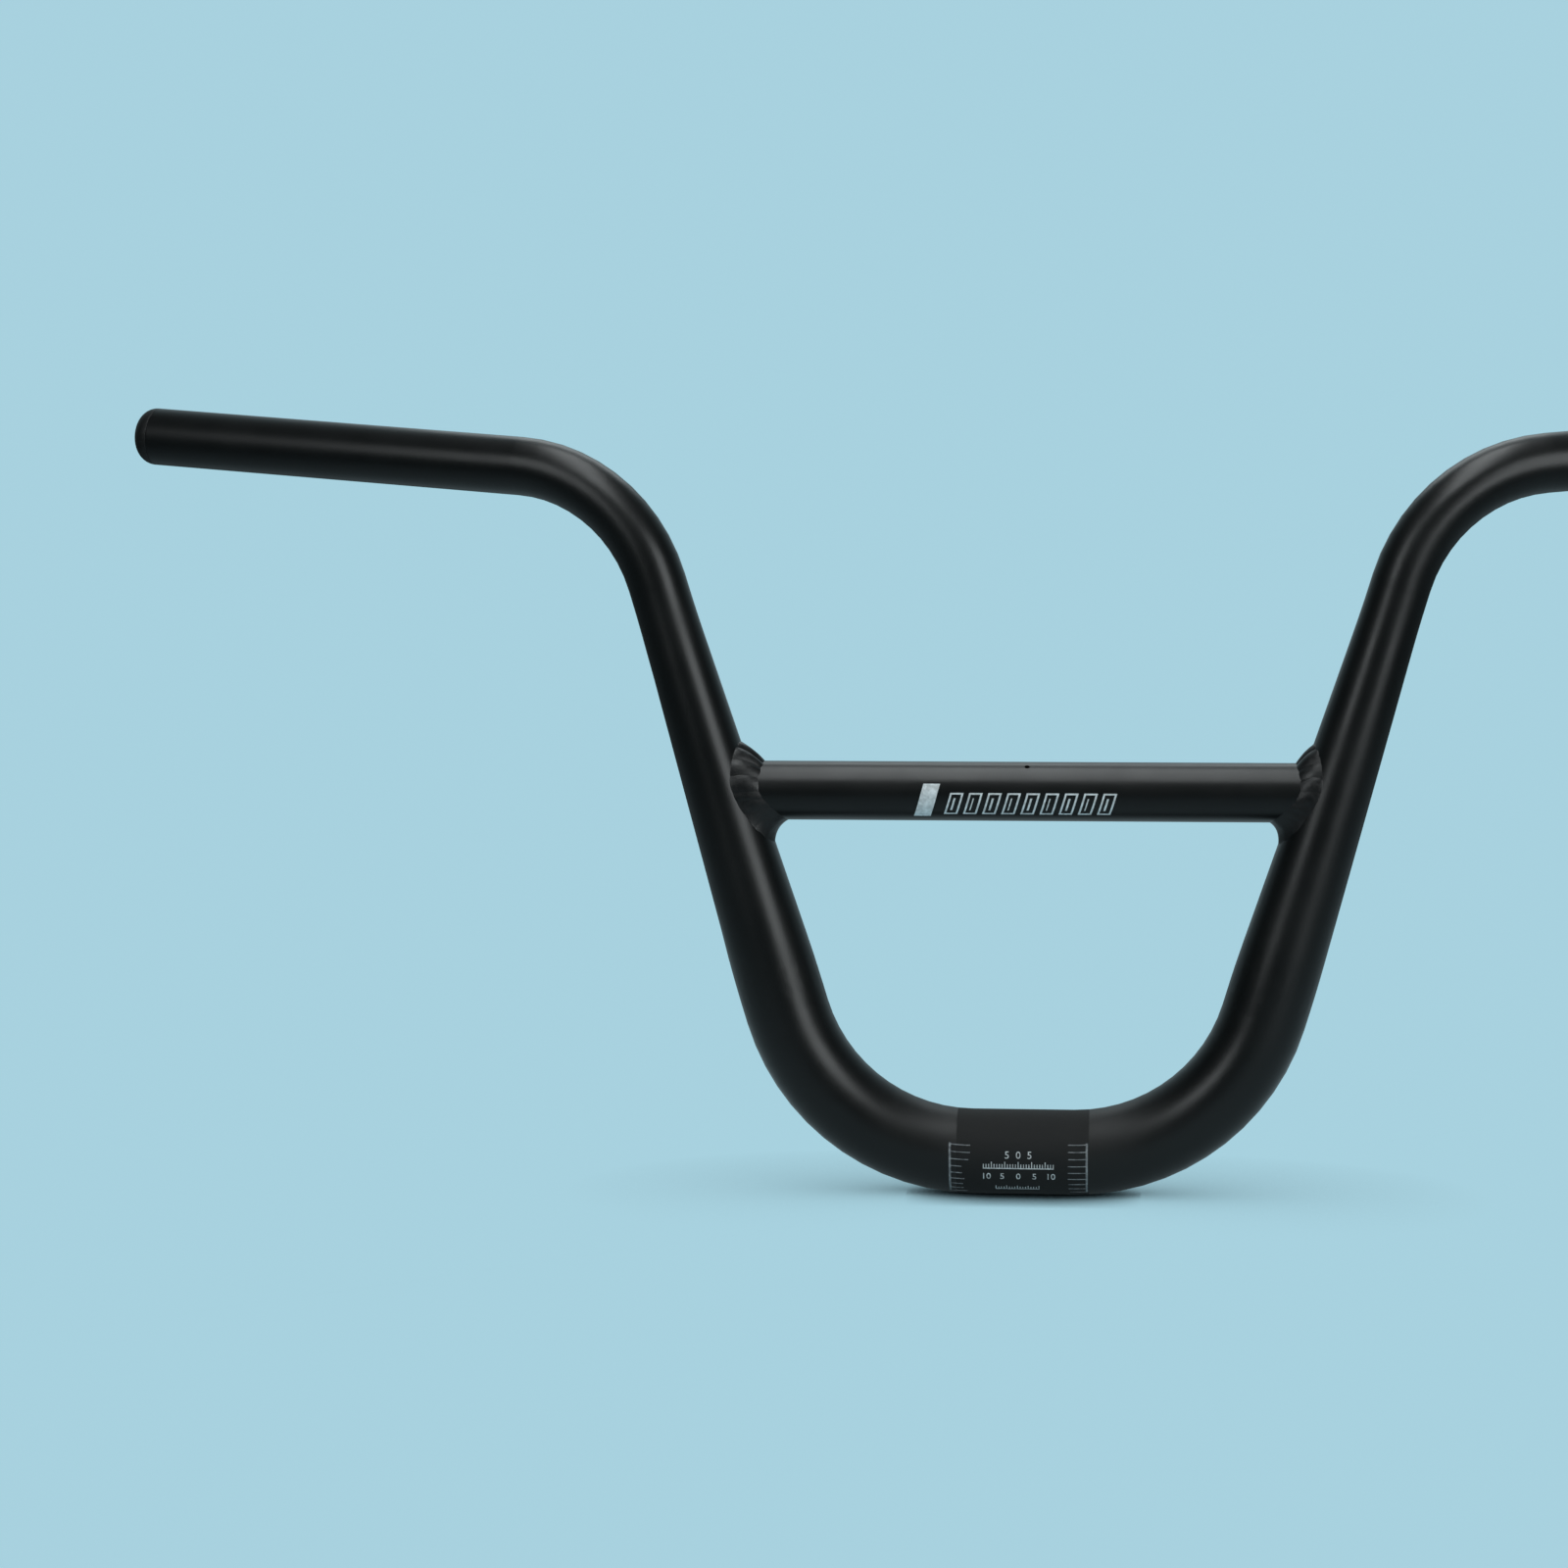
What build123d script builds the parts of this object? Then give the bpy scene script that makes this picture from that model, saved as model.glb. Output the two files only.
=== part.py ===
from build123d import *
from math import atan2, cos, radians, sin, sqrt, tan
import os

os.makedirs("parts", exist_ok=True)

# Riser handlebar for a small-wheeled bike, in millimetres.
# The origin is the middle of the stem clamp seat. X runs along the seat, Y runs back along
# the sweep of the grips and Z runs up the rise. "Right" is the side of positive X.

# Main tube, across
clamp_diameter = 31.8
clamp_wall = 2.6
grip_diameter = 22.2
grip_wall = 2.0

# Main tube, along its centreline from the middle
clamp_straight = 38.0
lower_bend_radius = 73.5
leg_angle = 73.0
leg_length = 169.5
upper_bend_radius = 62.0
upsweep = 5.0
backsweep = 14.0
grip_length = 156.4

# Butted taper of each leg, measured from the lower bend
taper_start = 15.8
taper_length = 140.0
taper_blend = 10.0

# Cut ends of the main tube
end_rounding = 0.3
end_chamfer = 0.3

# Moulded plugs in the cut ends: a domed head on a hollow barrel with gripping ribs
plug_rim = 0.6
plug_dome = 6.8
plug_edge = 0.25
plug_cap_wall = 2.4
plug_barrel_length = 24.0
plug_barrel_wall = 1.5
plug_barrel_gap = 0.5
plug_lead_in = 1.2
plug_ribs = 4
plug_rib_pitch = 5.0
plug_rib_width = 1.4

# Crossbar
crossbar_diameter = 22.2
crossbar_wall = 1.8
crossbar_height = 135.8

# Vent hole that lets the weld gas out of the crossbar, turned up from the front
vent_diameter = 2.0
vent_offset = 1.0
vent_angle = 59.0

# Weld bead: how far it reaches from the seam along the leg and along the crossbar, and how
# far its face bulges, on top of the crossbar, at its sides and under it
leg_reach_over = 8.0
leg_reach_side = 4.6
leg_reach_under = 9.2
bar_reach_over = 6.7
bar_reach_side = 8.6
bar_reach_under = 8.4
weld_crown_over = 0.6
weld_crown_side = 0.8
weld_crown_under = -1.6
weld_root_depth = 2.4
weld_toe_depth = 0.25
weld_sections = 13

clamp_radius = clamp_diameter / 2
grip_radius = grip_diameter / 2
crossbar_radius = crossbar_diameter / 2
clamp_bore = clamp_radius - clamp_wall
grip_bore = grip_radius - grip_wall
crossbar_bore = crossbar_radius - crossbar_wall
taper_end = taper_start + taper_length
plug_head = plug_rim + plug_dome
plug_barrel_radius = grip_bore - plug_barrel_gap
plug_bore = plug_barrel_radius - plug_barrel_wall

across = Vector(1, 0, 0)
back = Vector(0, 1, 0)
up = Vector(0, 0, 1)
leg_heading = across * cos(radians(leg_angle)) + up * sin(radians(leg_angle))
leg_inward = up * cos(radians(leg_angle)) - across * sin(radians(leg_angle))
grip_heading = (
    across * (cos(radians(upsweep)) * cos(radians(backsweep)))
    + back * sin(radians(backsweep))
    + up * (sin(radians(upsweep)) * cos(radians(backsweep)))
)


def place_after_bend(start, heading, toward, radius, angle):
    """Where the centreline of a bend ends."""
    turn = radians(angle)
    return start + heading * (radius * sin(turn)) + toward * (radius * (1 - cos(turn)))


def bent_tube(start, heading, toward, radius, angle, outer, bore):
    """A tube of even wall bent round an axis that lies to its side."""
    wall = Plane(origin=start, x_dir=toward, z_dir=heading) * (Circle(outer) - Circle(bore))
    hinge = Axis(start + toward * radius, heading.cross(toward))
    return revolve(wall, axis=hinge, revolution_arc=angle)


def leg_form(start_radius, end_radius):
    """A solid leg turned about X, straight at both ends and tapered between, with blended corners."""
    slope = atan2(start_radius - end_radius, taper_length)
    outline = Polyline(
        (0, 0),
        (0, start_radius),
        (taper_start, start_radius),
        (taper_end, end_radius),
        (leg_length, end_radius),
        (leg_length, 0),
        close=True,
    )
    half_section = make_face(outline)
    corners = half_section.vertices().filter_by(
        lambda corner: 0 < corner.X < leg_length and corner.Y > 0
    )
    half_section = fillet(corners, taper_blend / tan(slope / 2))
    return revolve(half_section, axis=Axis.X)


def grip_tube():
    """The straight grip turned about X, its cut end rounded outside and chamfered inside."""
    wall = make_face(
        Polyline(
            (0, grip_bore),
            (0, grip_radius),
            (grip_length, grip_radius),
            (grip_length, grip_bore),
            close=True,
        )
    )
    open_end = wall.vertices().group_by(Axis.X)[-1].sort_by(Axis.Y)
    wall = fillet(open_end[-1], end_rounding)
    open_end = wall.vertices().group_by(Axis.X)[-1].sort_by(Axis.Y)
    wall = chamfer(open_end[0], end_chamfer)
    return revolve(wall, axis=Axis.X)


def end_plug():
    """A plug turned about X, its head's seat in the plane of the bar's cut end."""
    head = make_face(
        Polyline(
            (0, 0),
            (0, grip_radius),
            (plug_head, grip_radius),
            (plug_head, 0),
            close=True,
        )
    )
    rim_corners = head.vertices().group_by(Axis.Y)[-1].sort_by(Axis.X)
    head = fillet(rim_corners[-1], plug_dome)
    rim_corners = head.vertices().group_by(Axis.Y)[-1].sort_by(Axis.X)
    head = fillet(rim_corners[0], plug_edge)
    barrel = make_face(
        Polyline(
            (-plug_barrel_length, 0),
            (-plug_barrel_length, plug_barrel_radius - plug_lead_in / 2),
            (plug_lead_in - plug_barrel_length, plug_barrel_radius),
            (0, plug_barrel_radius),
            (0, 0),
            close=True,
        )
    )
    section = head + barrel
    for rib in range(plug_ribs):
        middle = -plug_rib_pitch * (rib + 0.5)
        section += make_face(
            Polyline(
                (middle - plug_rib_width / 2, 0),
                (middle - plug_rib_width / 2, plug_barrel_radius),
                (middle, grip_bore),
                (middle + plug_rib_width / 2, grip_bore),
                (middle + plug_rib_width / 2, 0),
                close=True,
            )
        )
    hollow_length = plug_barrel_length + plug_head - plug_cap_wall
    hollow = Pos(-plug_barrel_length + hollow_length / 2, plug_bore / 2) * Rectangle(
        hollow_length, plug_bore
    )
    return revolve(section - hollow, axis=Axis.X)


def along(start, heading):
    """The place of a form that was turned about X, set along a heading."""
    side = back - heading * heading.dot(back)
    return Plane(origin=start, x_dir=heading, z_dir=side.normalized()).location


# Stations of the right half's centreline
seat_end = across * (clamp_straight / 2)
leg_start = place_after_bend(seat_end, across, up, lower_bend_radius, leg_angle)
leg_end = leg_start + leg_heading * leg_length
upper_angle = leg_heading.get_angle(grip_heading)
upper_toward = (grip_heading - leg_heading * leg_heading.dot(grip_heading)).normalized()
grip_start = place_after_bend(leg_end, leg_heading, upper_toward, upper_bend_radius, upper_angle)
grip_end = grip_start + grip_heading * grip_length

# Main tube
seat_tube = extrude(
    Plane.YZ.offset(-clamp_straight / 2) * (Circle(clamp_radius) - Circle(clamp_bore)),
    clamp_straight,
)
lower_bend = bent_tube(
    seat_end, across, up, lower_bend_radius, leg_angle, clamp_radius, clamp_bore
)
leg_core = along(leg_start, leg_heading) * leg_form(clamp_radius, grip_radius)
leg_tube = leg_core - along(leg_start, leg_heading) * leg_form(clamp_bore, grip_bore)
upper_bend = bent_tube(
    leg_end, leg_heading, upper_toward, upper_bend_radius, upper_angle, grip_radius, grip_bore
)
grip = along(grip_start, grip_heading) * grip_tube()
right_half = lower_bend + leg_tube + upper_bend + grip
main_tube = seat_tube + right_half + mirror(right_half, about=Plane.YZ)

# Plugs in both ends
right_end_plug = along(grip_end, grip_heading) * end_plug()
left_end_plug = mirror(right_end_plug, about=Plane.YZ)

# Crossbar, coped to both legs
crossing_run = (crossbar_height - leg_start.Z) / sin(radians(leg_angle))
crossing = leg_start + leg_heading * crossing_run
crossbar_plane = Plane(origin=(-crossing.X, 0, crossbar_height), z_dir=across)
crossbar_core = extrude(crossbar_plane * Circle(crossbar_radius), 2 * crossing.X)
crossbar_hollow = extrude(crossbar_plane * Circle(crossbar_bore), 2 * crossing.X)
vent = Plane(
    origin=(vent_offset, 0, crossbar_height),
    z_dir=(0, -cos(radians(vent_angle)), sin(radians(vent_angle))),
) * extrude(Circle(vent_diameter / 2), crossbar_diameter)
crossbar = (
    crossbar_core - crossbar_hollow - leg_core - mirror(leg_core, about=Plane.YZ) - vent
)


def leg_radius(run):
    """Radius of the leg's outside at a run along its axis."""
    share = min(max((run - taper_start) / taper_length, 0), 1)
    return clamp_radius + (grip_radius - clamp_radius) * share


def around(turn, over, side, under):
    """A value that goes smoothly from above the crossbar, over its side, to below it."""
    upright = over if cos(turn) > 0 else under
    return side * sin(turn) ** 2 + upright * cos(turn) ** 2


def weld_section(turn):
    """One cut through the right bead, at an angle round the crossbar from its top."""
    depth = crossbar_radius * sin(turn)
    rise = crossbar_radius * cos(turn)
    radius = leg_radius(crossing_run)
    for _ in range(4):
        inward = sqrt(max(radius**2 - depth**2, 0))
        run = (rise - inward * leg_inward.Z) / leg_heading.Z
        radius = leg_radius(crossing_run + run)
    bar_normal = back * sin(turn) + up * cos(turn)
    leg_turn = atan2(depth, inward)
    leg_normal = leg_inward * cos(leg_turn) + back * sin(leg_turn)
    seam = crossing + leg_heading * run + leg_normal * radius

    leg_reach = around(turn, leg_reach_over, leg_reach_side, leg_reach_under)
    bar_reach = around(turn, bar_reach_over, bar_reach_side, bar_reach_under)
    crown = around(turn, weld_crown_over, weld_crown_side, weld_crown_under)
    toe_turn = leg_turn + leg_reach * sin(turn) / radius
    toe_run = run + leg_reach * cos(turn)
    toe_radius = leg_radius(crossing_run + toe_run) - weld_toe_depth
    toe_normal = leg_inward * cos(toe_turn) + back * sin(toe_turn)
    leg_toe = crossing + leg_heading * toe_run + toe_normal * toe_radius
    bar_toe = seam - across * bar_reach - bar_normal * weld_toe_depth
    cut = (leg_toe - seam).cross(bar_toe - seam).normalized()
    outward = bar_normal + leg_normal
    outward = (outward - cut * outward.dot(cut)).normalized()
    root = seam - outward * weld_root_depth
    bulge = (leg_toe + bar_toe) * 0.5 + outward * (2 * crown)
    return make_face([Bezier(leg_toe, bulge, bar_toe), Polyline(bar_toe, root, leg_toe)])


# Weld beads, each lofted round one side and mirrored to the other
turns = [radians(180 * step / (weld_sections - 1)) for step in range(weld_sections)]
rear_bead = loft([weld_section(turn) for turn in turns])
bead = rear_bead + mirror(rear_bead, about=Plane.XZ)
right_weld = bead - leg_core - crossbar_core
left_weld = mirror(right_weld, about=Plane.YZ)

export_step(main_tube, "parts/main_tube.step")
export_step(crossbar, "parts/crossbar.step")
export_step(left_weld, "parts/left_weld.step")
export_step(right_weld, "parts/right_weld.step")
export_step(left_end_plug, "parts/left_end_plug.step")
export_step(right_end_plug, "parts/right_end_plug.step")
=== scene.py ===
import bmesh
import bpy
import random
from math import asin, atan2, cos, floor, pi, radians, sin, sqrt
from mathutils import Matrix, Vector


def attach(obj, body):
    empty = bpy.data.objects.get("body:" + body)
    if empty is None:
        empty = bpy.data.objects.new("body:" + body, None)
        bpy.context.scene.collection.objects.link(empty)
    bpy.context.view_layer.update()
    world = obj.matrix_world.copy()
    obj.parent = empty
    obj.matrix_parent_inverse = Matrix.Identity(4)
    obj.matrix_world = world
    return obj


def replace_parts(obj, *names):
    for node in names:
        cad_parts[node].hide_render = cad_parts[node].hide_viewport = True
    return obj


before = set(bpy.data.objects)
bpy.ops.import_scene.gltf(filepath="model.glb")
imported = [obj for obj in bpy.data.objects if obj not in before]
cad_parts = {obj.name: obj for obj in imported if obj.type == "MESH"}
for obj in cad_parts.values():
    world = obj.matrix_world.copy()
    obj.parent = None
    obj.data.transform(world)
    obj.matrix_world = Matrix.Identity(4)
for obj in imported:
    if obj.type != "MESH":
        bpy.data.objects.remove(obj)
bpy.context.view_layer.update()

MM = 0.001
ACROSS = Vector((1, 0, 0))
BACK = Vector((0, 1, 0))
UP = Vector((0, 0, 1))

# The bar's sizes, in millimetres, as in the CAD
CLAMP_RADIUS = 15.9
GRIP_RADIUS = 11.1
SEAT_HALF = 19.0
BEND_RADIUS = 73.5
LEG_ANGLE = radians(73)
TAPER_START = 15.8
TAPER_LENGTH = 140.0
BAR_RADIUS = 11.1
BAR_HEIGHT = 135.8

# Weld beads, in millimetres: over, beside and under the crossbar
LEG_REACH = (8.0, 2.6, 9.2)
BAR_REACH = {"left": (6.7, 8.6, 8.4), "right": (4.2, 6.0, 6.2)}
CROWN = (0.6, 0.8, -1.6)

# How deep a bead's toes and its root lie in the metal, in millimetres
TOE_DEPTH = 0.25
ROOT_DEPTH = 2.4

# Steps round a bead, points across it, and rounds that settle the leg's radius at the seam
BEAD_TURNS = 480
BEAD_POINTS = 26
SEAM_ROUNDS = 4

# How plainly the ripples of a bead show: over, beside and under the crossbar
RIPPLE_FADE = (1.0, 0.3, 0.05)

# Ripples, as shares: unevenness in length, lowest height, the bead's mean level, and how they widen it
RIPPLE_UNEVEN = 0.3
RIPPLE_LOWEST = 0.6
RIPPLE_LEVEL = 0.6
RIPPLE_SWELL = 0.5

# Powers that blunt a ripple along the bead and across it
RIPPLE_BLUNT = 0.8
ACROSS_BLUNT = 0.5

# Finishes: two colours from dark to light, roughness from shiny to dull
TUBE_TONES = ((0.0014, 0.0017, 0.0018), (0.0027, 0.0031, 0.0032))
WELD_TONES = ((0.0020, 0.0021, 0.0023), (0.0042, 0.0043, 0.0046))
PLUG_TONES = ((0.0028, 0.0029, 0.0030), (0.0050, 0.0051, 0.0053))
SCALE_TONES = ((0.09, 0.09, 0.095), (0.20, 0.205, 0.21))
NUMBER_TONES = ((0.34, 0.34, 0.34), (0.52, 0.52, 0.52))
GRAPHIC_TONES = ((0.42, 0.42, 0.42), (0.62, 0.62, 0.62))
TUBE_ROUGHNESS = (0.31, 0.38)
WELD_ROUGHNESS = (0.30, 0.46)
PLUG_ROUGHNESS = (0.44, 0.58)
INK_ROUGHNESS = (0.45, 0.6)

# The part of a noise that a finish is spread over
NOISE_MIDDLE = (0.3, 0.7)
INK_MIDDLE = (0.35, 0.65)

# Dull band of the clamp seat, in metres: half its width, its blurred edge and where it ends upwards
BAND_HALF = 0.02465
BAND_EDGE = 0.0001
BAND_TOP = (0.026, 0.027)
BAND_ROUGHNESS = 0.74

# The sheen beside the band is duller by this much, and less so with distance, in metres
BESIDE_DULLER = 0.17
BESIDE_REACH = 0.035

# Printed marks, in millimetres
INK_LIFT = 0.03
INK_DEPTH = 0.12
CUT_STEP = 0.5

# Clamping scales: degrees from tick to tick, and widths in millimetres
TICK_PITCH = 9.75
TICK_HALF = 0.17
SPINE_WIDTH = 0.8
SPINE_PAST = 0.5

# The leaning sides of an outline, as wide as its line times this
LEANING_LINE = 1.15

# Camera, fitted to the photograph
CAMERA_PLACE = Vector((0.0463, -1.3850, 0.2137))
CAMERA_AIM = Vector((-0.0907, 0.0, 0.1381))
CAMERA_LENS = 84.88
SENSOR = 36.0
CAMERA_FAR = 100.0

# Lamps: place, aim, width and height in metres, and power in watts
LAMP_WHITE = (0.93, 0.985, 1.0)
LAMPS = {
    "key_right": ((1.21, -1.30, 0.62), (0, 0, 0.15), (0.9, 1.24), 16.5),
    "fill_left": ((-0.89, -1.33, 0.80), (0, 0, 0.15), (0.5, 0.8), 5.6),
    "top": ((-0.06, -0.36, 1.5), (-0.06, 0, 0.1), (0.5, 1.7), 15),
    "back": ((-0.05, 0.95, 1.15), (0, 0, 0.2), (0.8, 0.6), 2.6),
}

# Floor, in metres
FLOOR_Z = -0.0159
FLOOR_REACH = 20.0
BACKDROP_BLUE = (0.392, 0.640, 0.738)

# What the gloss mirrors: the pale room behind the bar and its dim side towards the camera; the floor's
# painted glow takes the pale colour near the bar and the last colour far off
ROOM_BEHIND = (0.42, 0.56, 0.61)
ROOM_FRONT = (0.045, 0.058, 0.060)
PAINTED_GLOW_FAR = (0.060, 0.078, 0.082)

# The share of backwards in a direction from which the room begins to be pale
ROOM_TURN = 0.15

# The floor's painted glow, seen only in reflections, is pale about this place and dim past a distance, in
# metres
PALE_FLOOR_Y = 0.15
PALE_FLOOR_FADE = (0.1, 0.85)

# Painted soft shadow on the floor, darker where the bar closes it in: how far it reaches, in metres, how dark
# it is, and how far it leans back
SHADOW_REACH = 0.09
SHADOW_POWER = 0.62
SHADOW_LEAN = radians(26)

# The dark core of the painted shadow, which fades with the distance from the middle, in metres
CONTACT_REACH = 0.021
CONTACT_POWER = 2.0
CONTACT_FADE = (0.012, 0.044)


# Materials

class Nodes:
    """A node tree, with short ways to add and join nodes."""

    def __init__(self, tree, coordinates):
        self.tree = tree
        self.place = self.add("ShaderNodeTexCoord").outputs[coordinates]

    def add(self, kind, **settings):
        node = self.tree.nodes.new(kind)
        for name, value in settings.items():
            setattr(node, name, value)
        return node

    def join(self, source, target):
        self.tree.links.new(source, target)

    def noise(self, scale, detail=2.0):
        """Noise with so many cells to the metre."""
        node = self.add("ShaderNodeTexNoise")
        node.inputs["Scale"].default_value = scale
        node.inputs["Detail"].default_value = detail
        self.join(self.place, node.inputs["Vector"])
        return node.outputs[0]

    def spread(self, source, low, high, start=0.0, end=1.0):
        """The source, mapped from start..end to low..high."""
        node = self.add("ShaderNodeMapRange")
        for name, value in (("From Min", start), ("From Max", end), ("To Min", low), ("To Max", high)):
            node.inputs[name].default_value = value
        self.join(source, node.inputs["Value"])
        return node.outputs["Result"]

    def maths(self, operation, first, second=None):
        node = self.add("ShaderNodeMath", operation=operation)
        for socket, value in zip(node.inputs, (first, second)):
            if isinstance(value, (int, float)):
                socket.default_value = value
            elif value is not None:
                self.join(value, socket)
        return node.outputs["Value"]

    def blend(self, share, first, second):
        """A number that goes from first to second as share goes from 0 to 1."""
        other = self.maths("SUBTRACT", second, first)
        return self.maths("ADD", self.maths("MULTIPLY", share, other), first)

    def mixed(self, share, first, second):
        """A colour that goes from first to second as share goes from 0 to 1."""
        node = self.add("ShaderNodeMix", data_type="RGBA")
        self.join(share, node.inputs[0])
        node.inputs[6].default_value = (*first, 1)
        node.inputs[7].default_value = (*second, 1)
        return node.outputs[2]

    def axis(self, name):
        node = self.add("ShaderNodeSeparateXYZ")
        self.join(self.place, node.inputs["Vector"])
        return node.outputs[name]

    def distance(self, name, middle=0.0):
        """How far a place lies from the middle along an axis."""
        return self.maths("ABSOLUTE", self.maths("SUBTRACT", self.axis(name), middle))

    def openness(self, reach, lean=0.0):
        """From 0 in a corner to 1 in the open, for what lies within reach. A lean looks to the front."""
        node = self.add("ShaderNodeAmbientOcclusion", samples=4)
        node.inputs["Distance"].default_value = reach
        look = self.add("ShaderNodeCombineXYZ")
        look.inputs["Y"].default_value = -sin(lean)
        look.inputs["Z"].default_value = cos(lean)
        self.join(look.outputs["Vector"], node.inputs["Normal"])
        return node.outputs["AO"]

    def chosen(self, share, usual, other):
        """The usual shader, or the other one where share is 1."""
        mix = self.add("ShaderNodeMixShader")
        self.join(share, mix.inputs["Fac"])
        self.join(usual, mix.inputs[1])
        self.join(other, mix.inputs[2])
        return mix.outputs["Shader"]


class Finish(Nodes):
    """A material whose shader takes its colour, roughness and bump from noise."""

    def __init__(self, name, specular):
        self.material = bpy.data.materials.new(name)
        self.material.use_nodes = True
        super().__init__(self.material.node_tree, "Object")
        self.shader = self.tree.nodes["Principled BSDF"]
        self.shader.inputs["Specular IOR Level"].default_value = specular
        self.normal = None

    def colours(self, share, dark, light):
        self.join(self.mixed(share, dark, light), self.shader.inputs["Base Color"])

    def roughness(self, value):
        self.join(value, self.shader.inputs["Roughness"])

    def bump(self, height, strength, depth):
        """Adds a layer of bump, its depth in metres, over those before it."""
        node = self.add("ShaderNodeBump")
        node.inputs["Strength"].default_value = strength
        node.inputs["Distance"].default_value = depth
        self.join(height, node.inputs["Height"])
        if self.normal:
            self.join(self.normal, node.inputs["Normal"])
        self.normal = node.outputs["Normal"]
        self.join(self.normal, self.shader.inputs["Normal"])


def tube_finish(name, band=False):
    """Satin black anodising: a soft sheen that varies a little, with a fine peel."""
    t = Finish(name, specular=0.36)
    t.colours(t.noise(scale=22), *TUBE_TONES)
    sheen = t.spread(t.noise(scale=38, detail=3), *TUBE_ROUGHNESS, *NOISE_MIDDLE)
    t.bump(t.noise(scale=1500), strength=0.05, depth=0.0003)
    if band:
        across = t.distance("X")
        low = t.spread(t.axis("Z"), 1, 0, *BAND_TOP)
        inside = t.spread(across, 1, 0, BAND_HALF - BAND_EDGE, BAND_HALF + BAND_EDGE)
        dull = t.maths("MULTIPLY", inside, low)
        duller = t.spread(across, BESIDE_DULLER, 0, BAND_HALF, BAND_HALF + BESIDE_REACH)
        duller = t.maths("MULTIPLY", duller, low)
        t.roughness(t.blend(dull, t.maths("ADD", sheen, duller), BAND_ROUGHNESS))
        t.bump(t.maths("MULTIPLY", t.noise(scale=5200, detail=1), dull), strength=0.35, depth=0.0001)
    else:
        t.roughness(sheen)
    return t.material


def weld_finish():
    """The same black over a bead: sheen and grain change from one ripple to the next."""
    t = Finish("weld_black", specular=0.42)
    t.colours(t.noise(scale=260, detail=3), *WELD_TONES)
    t.roughness(t.spread(t.noise(scale=420, detail=3), *WELD_ROUGHNESS, *NOISE_MIDDLE))
    t.bump(t.noise(scale=900, detail=3), strength=0.16, depth=0.0004)
    t.bump(t.noise(scale=3600), strength=0.10, depth=0.0002)
    return t.material


def plug_plastic():
    """Moulded polyethylene: fine grain and a dull sheen, lightly scuffed."""
    t = Finish("plug_black", specular=0.36)
    t.colours(t.noise(scale=120, detail=3), *PLUG_TONES)
    t.roughness(t.spread(t.noise(scale=90, detail=4), *PLUG_ROUGHNESS, *NOISE_MIDDLE))
    t.bump(t.noise(scale=2600), strength=0.22, depth=0.0002)
    return t.material


def ink(name, tones):
    """Pale printing ink, a little uneven, thin in places."""
    t = Finish(name, specular=0.3)
    t.colours(t.spread(t.noise(scale=700, detail=3), 0, 1, *INK_MIDDLE), *tones)
    t.roughness(t.spread(t.noise(scale=500), *INK_ROUGHNESS))
    t.bump(t.noise(scale=2200), strength=0.1, depth=0.0001)
    return t.material


tube_black = tube_finish("tube_black")
seat_black = tube_finish("tube_black_with_band", band=True)
weld_black = weld_finish()
plug_black = plug_plastic()
finishes = {"main_tube": seat_black, "left_end_plug": plug_black, "right_end_plug": plug_black}
for node_name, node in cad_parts.items():
    node.data.materials.clear()
    node.data.materials.append(finishes.get(node_name, tube_black))


def add_piece(name, mesh_data, material):
    piece = bpy.data.objects.new(name, mesh_data)
    bpy.context.collection.objects.link(piece)
    mesh_data.materials.append(material)
    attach(piece, "root")
    return piece


# Weld beads

leg_heading = ACROSS * cos(LEG_ANGLE) + UP * sin(LEG_ANGLE)
leg_inward = UP * cos(LEG_ANGLE) - ACROSS * sin(LEG_ANGLE)
leg_start = ACROSS * (SEAT_HALF + BEND_RADIUS * sin(LEG_ANGLE)) + UP * (BEND_RADIUS * (1 - cos(LEG_ANGLE)))
crossing_run = (BAR_HEIGHT - leg_start.z) / sin(LEG_ANGLE)
crossing = leg_start + leg_heading * crossing_run


def leg_radius(run):
    share = min(max((run - TAPER_START) / TAPER_LENGTH, 0), 1)
    return CLAMP_RADIUS + (GRIP_RADIUS - CLAMP_RADIUS) * share


def around(turn, sizes):
    """A size that goes smoothly from over the crossbar, by its side, to under it."""
    over, beside, under = sizes
    upright = over if cos(turn) > 0 else under
    return beside * sin(turn) ** 2 + upright * cos(turn) ** 2


def bead_cut(turn, bar_reach, swell=0.0):
    """Toes, face direction, root and crown of a bead on the right, at an angle round the crossbar."""
    depth = BAR_RADIUS * sin(turn)
    rise = BAR_RADIUS * cos(turn)
    radius = leg_radius(crossing_run)
    for _ in range(SEAM_ROUNDS):
        inward = sqrt(radius**2 - depth**2)
        run = (rise - inward * leg_inward.z) / leg_heading.z
        radius = leg_radius(crossing_run + run)
    bar_normal = BACK * sin(turn) + UP * cos(turn)
    leg_turn = atan2(depth, inward)
    leg_normal = leg_inward * cos(leg_turn) + BACK * sin(leg_turn)
    seam = crossing + leg_heading * run + leg_normal * radius
    reach = around(turn, LEG_REACH) + swell
    toe_turn = leg_turn + reach * sin(turn) / radius
    toe_run = run + reach * cos(turn)
    toe_radius = leg_radius(crossing_run + toe_run) - TOE_DEPTH
    leg_toe = crossing + leg_heading * toe_run
    leg_toe += (leg_inward * cos(toe_turn) + BACK * sin(toe_turn)) * toe_radius
    bar_toe = seam - ACROSS * (around(turn, bar_reach) + swell) - bar_normal * TOE_DEPTH
    cut = (leg_toe - seam).cross(bar_toe - seam).normalized()
    outward = bar_normal + leg_normal
    outward = (outward - cut * outward.dot(cut)).normalized()
    return leg_toe, bar_toe, outward, seam - outward * ROOT_DEPTH, around(turn, CROWN)


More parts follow.
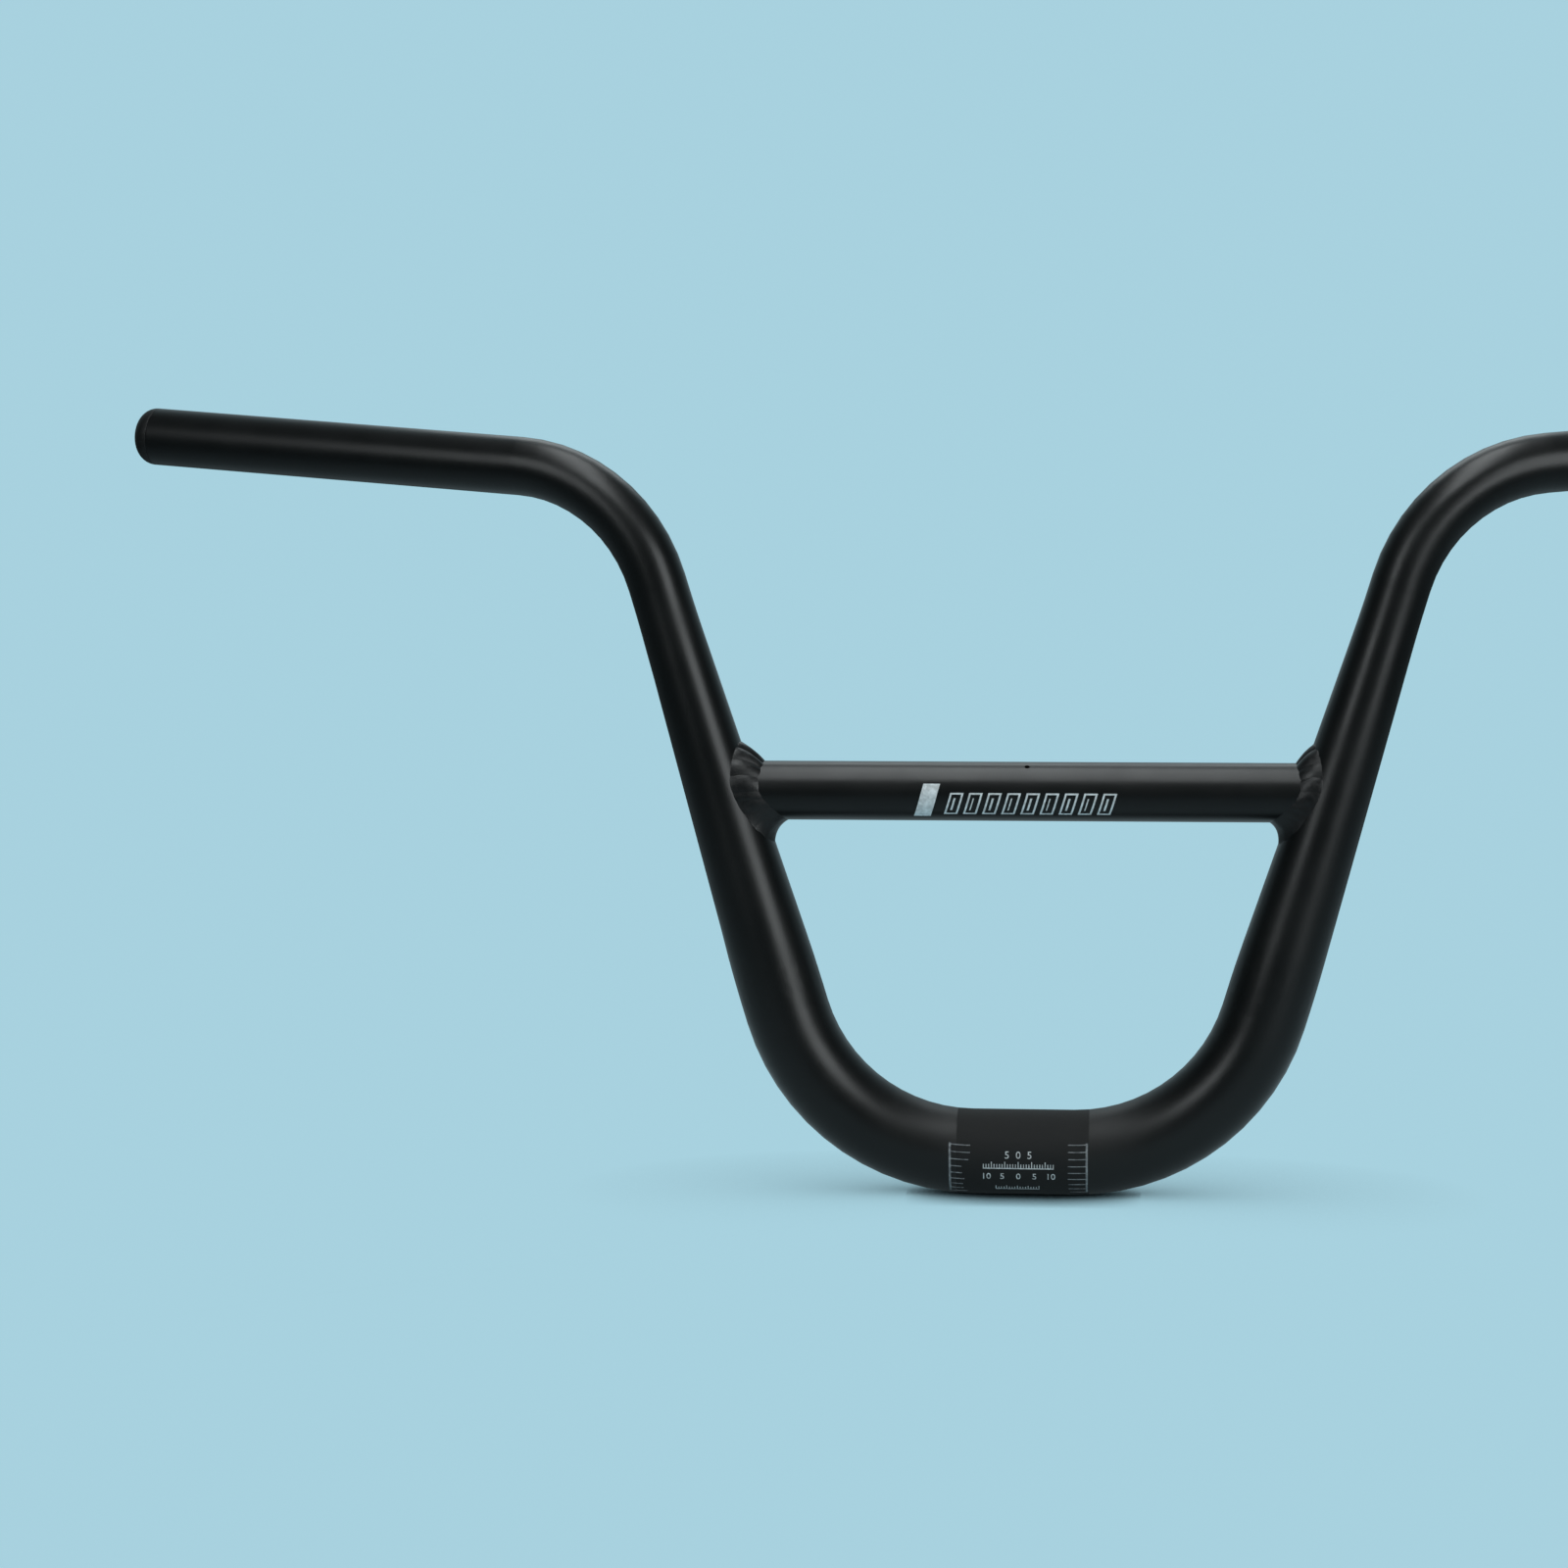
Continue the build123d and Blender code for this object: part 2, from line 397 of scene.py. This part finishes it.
def ripple_edges(length, pitch, draw):
    """Where one ripple ends and the next starts, along a bead that closes on itself."""
    count = round(length / pitch)
    steps = [1 + draw.uniform(-RIPPLE_UNEVEN, RIPPLE_UNEVEN) for _ in range(count)]
    scale = length / sum(steps)
    edges = [0.0]
    for step in steps:
        edges.append(edges[-1] + step * scale)
    return edges


def ripple_height(place, edges, heights):
    """From 0 in the groove between two ripples to about 1 on a ripple."""
    place %= edges[-1]
    index = 0
    while index < len(heights) - 1 and place >= edges[index + 1]:
        index += 1
    share = (place - edges[index]) / (edges[index + 1] - edges[index])
    return heights[index] * sin(pi * share) ** RIPPLE_BLUNT


def bead_rings(bar_reach, pitch, height, bow, draw):
    """Rings of points across a bead on the right, all the way round the crossbar."""
    turns = [2 * pi * step / BEAD_TURNS for step in range(BEAD_TURNS)]
    middles = []
    for turn in turns:
        leg_toe, bar_toe, *_ = bead_cut(turn, bar_reach)
        middles.append((leg_toe + bar_toe) / 2)
    run = [0.0]
    for step in range(BEAD_TURNS):
        run.append(run[-1] + (middles[(step + 1) % BEAD_TURNS] - middles[step]).length)
    edges = ripple_edges(run[-1], pitch, draw)
    heights = [draw.uniform(RIPPLE_LOWEST, 1.0) for _ in edges[1:]]
    rings = []
    for step, turn in enumerate(turns):
        ripple = height * around(turn, RIPPLE_FADE)
        swell = RIPPLE_SWELL * ripple * (ripple_height(run[step], edges, heights) - RIPPLE_LEVEL)
        leg_toe, bar_toe, outward, root, crown = bead_cut(turn, bar_reach, swell)
        bulge = (leg_toe + bar_toe) / 2 + outward * (2 * crown)
        ring = []
        for point in range(BEAD_POINTS):
            share = point / (BEAD_POINTS - 1)
            place = leg_toe * (1 - share) ** 2 + bulge * (2 * share * (1 - share)) + bar_toe * share**2
            lead = bow * (1 - (2 * share - 1) ** 2)
            lift = ripple_height(run[step] - lead, edges, heights) - RIPPLE_LEVEL
            ring.append(place + outward * (ripple * lift * sin(pi * share) ** ACROSS_BLUNT))
        rings.append(ring + [root])
    return rings


def weld_bead(side, pitch, height, bow, seed):
    """A bead of overlapping ripples round one end of the crossbar."""
    sign = {"left": -1, "right": 1}[side]
    mesh = bmesh.new()
    rings = []
    for ring in bead_rings(BAR_REACH[side], pitch, height, bow, random.Random(seed)):
        rings.append([mesh.verts.new((sign * p.x * MM, p.y * MM, p.z * MM)) for p in ring])
    for step, ring in enumerate(rings):
        following = rings[(step + 1) % BEAD_TURNS]
        for point in range(len(ring)):
            other = (point + 1) % len(ring)
            mesh.faces.new((ring[point], ring[other], following[other], following[point]))
    bmesh.ops.recalc_face_normals(mesh, faces=mesh.faces)
    for face in mesh.faces:
        face.smooth = True
    name = side + "_bead"
    data = bpy.data.meshes.new(name)
    mesh.to_mesh(data)
    mesh.free()
    return add_piece(name, data, weld_black)


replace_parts(weld_bead("left", pitch=4.6, height=0.75, bow=0.7, seed=11), "left_weld")
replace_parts(weld_bead("right", pitch=5.0, height=0.55, bow=0.7, seed=23), "right_weld")


# Printed marks: drawn flat in millimetres, then wrapped on the tubes

def on_crossbar(along, around_mm, lift):
    turn = around_mm / BAR_RADIUS
    outward = -BACK * cos(turn) + UP * sin(turn)
    return ACROSS * along + UP * BAR_HEIGHT + outward * (BAR_RADIUS + lift)


def on_seat(along, around_mm, lift):
    """On the clamp seat or, past its ends, on the lower bends, straight across the bar."""
    side = 1 if along > 0 else -1
    turn = around_mm / CLAMP_RADIUS
    past = max(abs(along) - SEAT_HALF, 0)
    bend = asin(past / (BEND_RADIUS - CLAMP_RADIUS * sin(turn)))
    middle = ACROSS * (side * (min(abs(along), SEAT_HALF) + BEND_RADIUS * sin(bend)))
    middle += UP * (BEND_RADIUS * (1 - cos(bend)))
    upward = UP * cos(bend) - ACROSS * (side * sin(bend))
    return middle + (-BACK * cos(turn) + upward * sin(turn)) * (CLAMP_RADIUS + lift)


def seat_arc(degrees):
    return CLAMP_RADIUS * radians(degrees)


def bar_arc(degrees):
    return BAR_RADIUS * radians(degrees)


def leaning(x, y, width, height, lean):
    """Corners of a parallelogram that leans to the right."""
    return [(x, y), (x + width, y), (x + width + lean, y + height), (x + lean, y + height)]


class Print:
    """Flat shapes that become one thin skin of ink."""

    def __init__(self):
        self.mesh = bmesh.new()

    def patch(self, *corners):
        self.mesh.faces.new([self.mesh.verts.new((x, y, 0)) for x, y in corners])

    def bar(self, x0, y0, x1, y1):
        self.patch((x0, y0), (x1, y0), (x1, y1), (x0, y1))

    def outline(self, x, y, width, height, lean, line):
        """The rim of a leaning parallelogram."""
        outer = leaning(x, y, width, height, lean)
        slope = lean / height
        inset = line * (LEANING_LINE + slope)
        narrower = width - 2 * LEANING_LINE * line
        inner = leaning(x + inset, y + line, narrower, height - 2 * line, lean - 2 * line * slope)
        for corner in range(4):
            other = (corner + 1) % 4
            self.patch(outer[corner], outer[other], inner[other], inner[corner])

    def digits(self, text, x, y, size):
        """A plain number, its middle at x, y."""
        curve = bpy.data.curves.new("digits", "FONT")
        curve.body = text
        curve.size = size
        curve.align_x = "CENTER"
        curve.align_y = "CENTER"
        curve.resolution_u = 3
        writer = bpy.data.objects.new("digits", curve)
        bpy.context.collection.objects.link(writer)
        data = bpy.data.meshes.new_from_object(writer.evaluated_get(bpy.context.evaluated_depsgraph_get()))
        data.transform(Matrix.Translation((x, y, 0)))
        self.mesh.from_mesh(data)
        bpy.data.objects.remove(writer)
        bpy.data.curves.remove(curve)
        bpy.data.meshes.remove(data)

    def numbers(self, texts, middle, y, pitch, size):
        """A row of plain numbers about a middle."""
        for index, text in enumerate(texts):
            self.digits(text, middle + (index - (len(texts) - 1) / 2) * pitch, y, size)

    def rule(self, middle, foot, reach, every, tall, short, half, base):
        """Ticks a millimetre apart on a line, every so many of them a tall one."""
        for step in range(-reach, reach + 1):
            height = short if step % every else tall
            self.bar(middle + step - half, foot, middle + step + half, foot + height)
        self.bar(middle - reach - half, foot - base, middle + reach + half, foot)

    def cut(self, normal):
        """Cuts the shapes at even steps, so that they can follow a curve."""
        spots = [vert.co.dot(normal) for vert in self.mesh.verts]
        for step in range(floor(min(spots) / CUT_STEP) + 1, floor(max(spots) / CUT_STEP) + 1):
            geometry = list(self.mesh.verts) + list(self.mesh.edges) + list(self.mesh.faces)
            bmesh.ops.bisect_plane(
                self.mesh, geom=geometry, plane_co=normal * (step * CUT_STEP), plane_no=normal
            )

    def wrap(self, name, surface, material):
        self.cut(Vector((1, 0, 0)))
        self.cut(Vector((0, 1, 0)))
        bmesh.ops.triangulate(self.mesh, faces=[f for f in self.mesh.faces if len(f.verts) > 4])
        for vert in self.mesh.verts:
            vert.co = surface(vert.co.x, vert.co.y, INK_LIFT) * MM
        data = bpy.data.meshes.new(name)
        self.mesh.to_mesh(data)
        self.mesh.free()
        piece = add_piece(name, data, material)
        skin = piece.modifiers.new("skin", "SOLIDIFY")
        skin.thickness = INK_DEPTH * MM
        skin.offset = -1
        return piece


scale_ink = ink("scale_ink", SCALE_TONES)
number_ink = ink("number_ink", NUMBER_TONES)
graphic_ink = ink("graphic_ink", GRAPHIC_TONES)


def stem_scale(name, spine, inward, first, lengths):
    """A line across the seat with ticks towards the middle, to set the stem by."""
    marks = Print()
    last = first - TICK_PITCH * (len(lengths) - 1)
    inner = spine + inward * SPINE_WIDTH
    marks.bar(min(spine, inner), seat_arc(last) - SPINE_PAST, max(spine, inner), seat_arc(first) + SPINE_PAST)
    for index, length in enumerate(lengths):
        middle = seat_arc(first - TICK_PITCH * index)
        end = inner + inward * length
        marks.bar(min(inner, end), middle - TICK_HALF, max(inner, end), middle + TICK_HALF)
    marks.wrap(name, on_seat, scale_ink)


stem_scale("left_scale", -27.45, 1, 16.0, (7.2, 7.2, 6.6, 4.0, 4.2, 5.0, 4.4, 4.6, 6.0))
stem_scale("right_scale", 24.33, -1, 18.0, (6.6, 6.6, 6.4, 6.6, 6.6, 6.6, 6.4, 6.4, 5.8))


def centre_rule():
    """Plain numbers over and under a fine rule about the middle of the seat, and a smaller rule below."""
    marks = Print()
    middle = -1.5
    upper_numbers, upper_rule, lower_numbers, lower_rule = map(seat_arc, (3.0, -11.2, -27.6, -49.4))
    marks.numbers(("5", "0", "5"), middle, upper_numbers, pitch=4.2, size=3.9)
    marks.rule(middle, upper_rule - 0.9, reach=13, every=5, tall=2.4, short=1.5, half=0.16, base=0.35)
    marks.numbers(("10", "5", "0", "5", "10"), middle, lower_numbers, pitch=6, size=3.7)
    marks.rule(middle - 0.4, lower_rule - 0.7, reach=8, every=4, tall=2.0, short=1.3, half=0.15, base=0.3)
    marks.wrap("centre_rule", on_seat, number_ink)


centre_rule()


def crossbar_graphic():
    """One filled leaning block, then a row of outlined ones with a line inside."""
    marks = Print()
    block_foot, block_top = bar_arc(-53.6), bar_arc(17.2)
    marks.patch(*leaning(-41.2, block_foot, width=6.2, height=block_top - block_foot, lean=3.8))
    foot = bar_arc(-47.0)
    height = bar_arc(-0.4) - foot
    lean = 2.6
    slope = lean / height
    first, pitch = -30.0, 7.12
    inset, short_by = 1.85, 2
    for index in range(9):
        x = first + index * pitch
        marks.outline(x, foot, width=5.0, height=height, lean=lean, line=0.62)
        line = 0.45 if index % 2 else 0.75
        line_height = height - 2 * short_by
        line_x = x + inset + slope * short_by
        marks.patch(*leaning(line_x, foot + short_by, line, line_height, lean - 2 * short_by * slope))
    marks.wrap("bar_graphic", on_crossbar, graphic_ink)


crossbar_graphic()


# Floor, light and camera

def floor_finish():
    """Pale blue, with a painted soft shadow for the camera, and a painted glow for the gloss to reflect, pale
    near the bar and darkened by the painted shadow.
    """
    t = Finish("floor_blue", specular=0.0)
    t.shader.inputs["Base Color"].default_value = (*BACKDROP_BLUE, 1)
    t.shader.inputs["Roughness"].default_value = 0.9
    # The floor's own blue, darkened where the bar closes it in: a painted shadow, not one cast by the lamps
    wide = t.maths("POWER", t.openness(SHADOW_REACH, SHADOW_LEAN), SHADOW_POWER)
    core = t.spread(t.distance("X"), CONTACT_POWER, 0, *CONTACT_FADE)
    close = t.maths("POWER", t.openness(CONTACT_REACH), core)
    seen = t.add("ShaderNodeEmission")
    seen.inputs["Color"].default_value = (*BACKDROP_BLUE, 1)
    t.join(t.maths("MULTIPLY", wide, close), seen.inputs["Strength"])
    # A painted glow for the gloss only: pale about a place near the bar, dim far off, darkened by the painted
    # shadow
    sides = t.maths("POWER", t.distance("X"), 2)
    depth = t.maths("POWER", t.distance("Y", PALE_FLOOR_Y), 2)
    away = t.spread(t.maths("SQRT", t.maths("ADD", sides, depth)), 0, 1, *PALE_FLOOR_FADE)
    painted_glow = t.add("ShaderNodeEmission")
    t.join(t.mixed(away, ROOM_BEHIND, PAINTED_GLOW_FAR), painted_glow.inputs["Color"])
    t.join(wide, painted_glow.inputs["Strength"])
    rays = t.add("ShaderNodeLightPath").outputs
    gloss = t.maths("MAXIMUM", rays["Is Glossy Ray"], rays["Is Transmission Ray"])
    surface = t.chosen(gloss, t.shader.outputs["BSDF"], painted_glow.outputs["Emission"])
    surface = t.chosen(rays["Is Camera Ray"], surface, seen.outputs["Emission"])
    t.join(surface, t.tree.nodes["Material Output"].inputs["Surface"])
    return t.material


def sweep_floor():
    """A pale seamless floor with the bar's shadow painted on it."""
    mesh = bmesh.new()
    level = Matrix.Translation((0, 0, FLOOR_Z))
    bmesh.ops.create_grid(mesh, x_segments=1, y_segments=1, size=FLOOR_REACH, matrix=level)
    data = bpy.data.meshes.new("floor")
    mesh.to_mesh(data)
    mesh.free()
    data.materials.append(floor_finish())
    floor_plane = bpy.data.objects.new("floor", data)
    bpy.context.collection.objects.link(floor_plane)


def area_light(name, place, aim, size, power):
    light = bpy.data.lights.new(name, "AREA")
    light.shape = "RECTANGLE"
    light.size, light.size_y = size
    light.energy = power
    light.color = LAMP_WHITE
    lamp = bpy.data.objects.new(name, light)
    bpy.context.collection.objects.link(lamp)
    lamp.location = place
    lamp.rotation_euler = (Vector(aim) - Vector(place)).to_track_quat("-Z", "Y").to_euler()


def surroundings():
    """A pale blue room: bright behind the bar, darker on the camera's side."""
    world = bpy.context.scene.world or bpy.data.worlds.new("world")
    bpy.context.scene.world = world
    world.use_nodes = True
    t = Nodes(world.node_tree, "Generated")
    plain = t.tree.nodes["Background"]
    plain.inputs["Color"].default_value = (*BACKDROP_BLUE, 1)
    room = t.add("ShaderNodeBackground")
    t.join(t.mixed(t.spread(t.axis("Y"), 0, 1, ROOM_TURN), ROOM_FRONT, ROOM_BEHIND), room.inputs["Color"])
    by_camera = t.add("ShaderNodeLightPath").outputs["Is Camera Ray"]
    surface = t.chosen(by_camera, room.outputs["Background"], plain.outputs["Background"])
    t.join(surface, t.tree.nodes["World Output"].inputs["Surface"])


def camera():
    data = bpy.data.cameras.new("camera")
    data.sensor_width = SENSOR
    data.lens = CAMERA_LENS
    data.clip_end = CAMERA_FAR
    eye = bpy.data.objects.new("camera", data)
    bpy.context.collection.objects.link(eye)
    eye.location = CAMERA_PLACE
    eye.rotation_euler = (CAMERA_AIM - CAMERA_PLACE).to_track_quat("-Z", "Y").to_euler()
    bpy.context.scene.camera = eye


sweep_floor()
for lamp_name, lamp_settings in LAMPS.items():
    area_light(lamp_name, *lamp_settings)
surroundings()
camera()
bpy.context.scene.view_settings.view_transform = "Standard"
